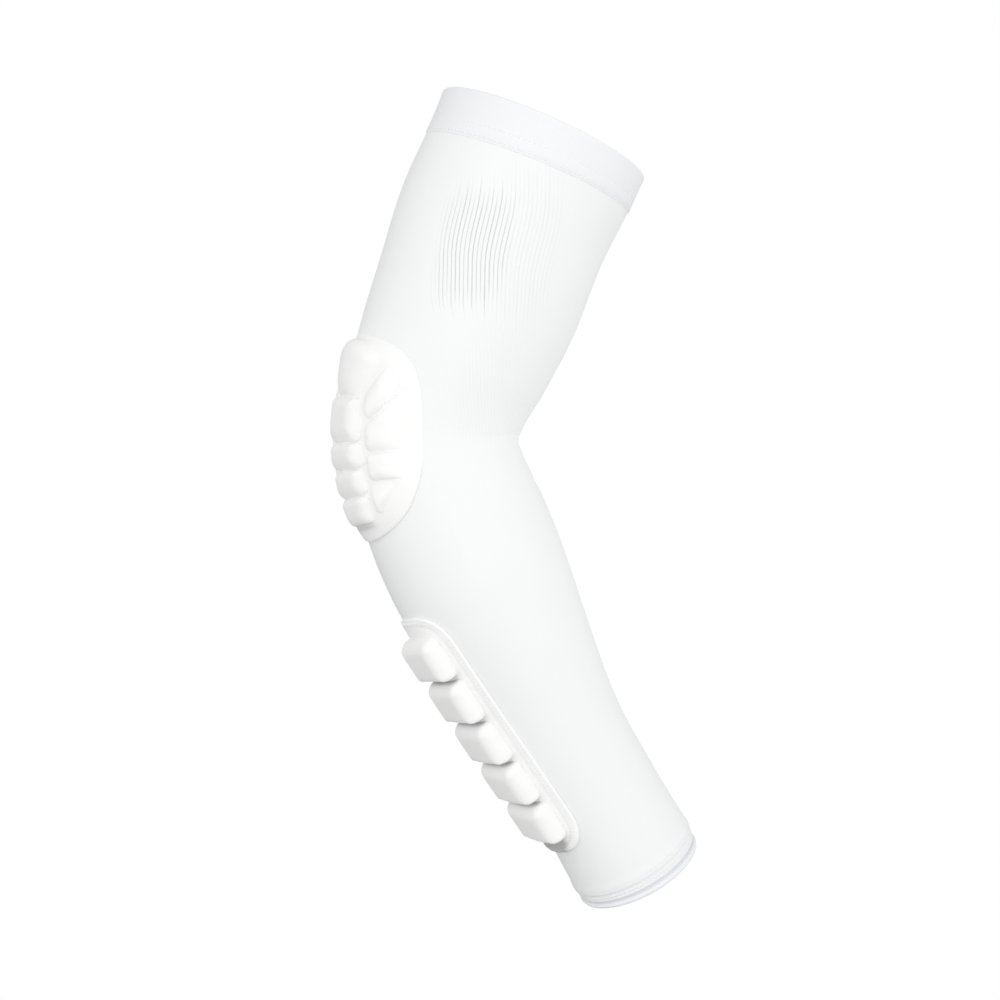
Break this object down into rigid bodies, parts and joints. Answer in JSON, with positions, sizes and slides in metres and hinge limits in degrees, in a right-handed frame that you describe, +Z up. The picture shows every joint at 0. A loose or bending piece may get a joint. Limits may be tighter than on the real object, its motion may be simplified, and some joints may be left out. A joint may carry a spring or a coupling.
{
  "type": "padded arm sleeve",
  "caption": "Padded sports sleeve for a bent arm: a knitted tube with a folded hem at each end, a moulded foam elbow pad and a row of foam bars along the forearm.",
  "frame": {"origin": "the middle of the elbow inside the sleeve, where the arm that wears it bends", "axes": "+Z up with the upper-arm opening on top, -X towards the point of the elbow, -Y towards the front of the sleeve"},
  "size_m": [0.1856, 0.123, 0.4128],
  "materials": {
    "knit": "smooth stretch knit, matt with a faint sheen",
    "hem_knit": "folded stretch knit with rows of stitching",
    "pad_skin": "knit bonded to thin foam, sewn round its edge",
    "foam_skin": "knit moulded over foam, satin"
  },
  "bodies": {
    "root": {"sleeve_tube": "knit", "upper_hem": "hem_knit", "wrist_hem": "hem_knit", "elbow_pad_base": "pad_skin", "elbow_block_cap": "foam_skin", "elbow_block_centre_1": "foam_skin", "elbow_block_centre_2": "foam_skin", "elbow_block_centre_3": "foam_skin", "elbow_block_centre_4": "foam_skin", "elbow_block_front_1": "foam_skin", "elbow_block_front_2": "foam_skin", "elbow_block_front_3": "foam_skin", "elbow_block_front_4": "foam_skin", "elbow_block_back_1": "foam_skin", "elbow_block_back_2": "foam_skin", "elbow_block_back_3": "foam_skin", "elbow_block_back_4": "foam_skin", "forearm_pad_base": "pad_skin", "forearm_block_1": "foam_skin", "forearm_block_2": "foam_skin", "forearm_block_3": "foam_skin", "forearm_block_4": "foam_skin", "forearm_block_5": "foam_skin"}
  },
  "joints": []
}
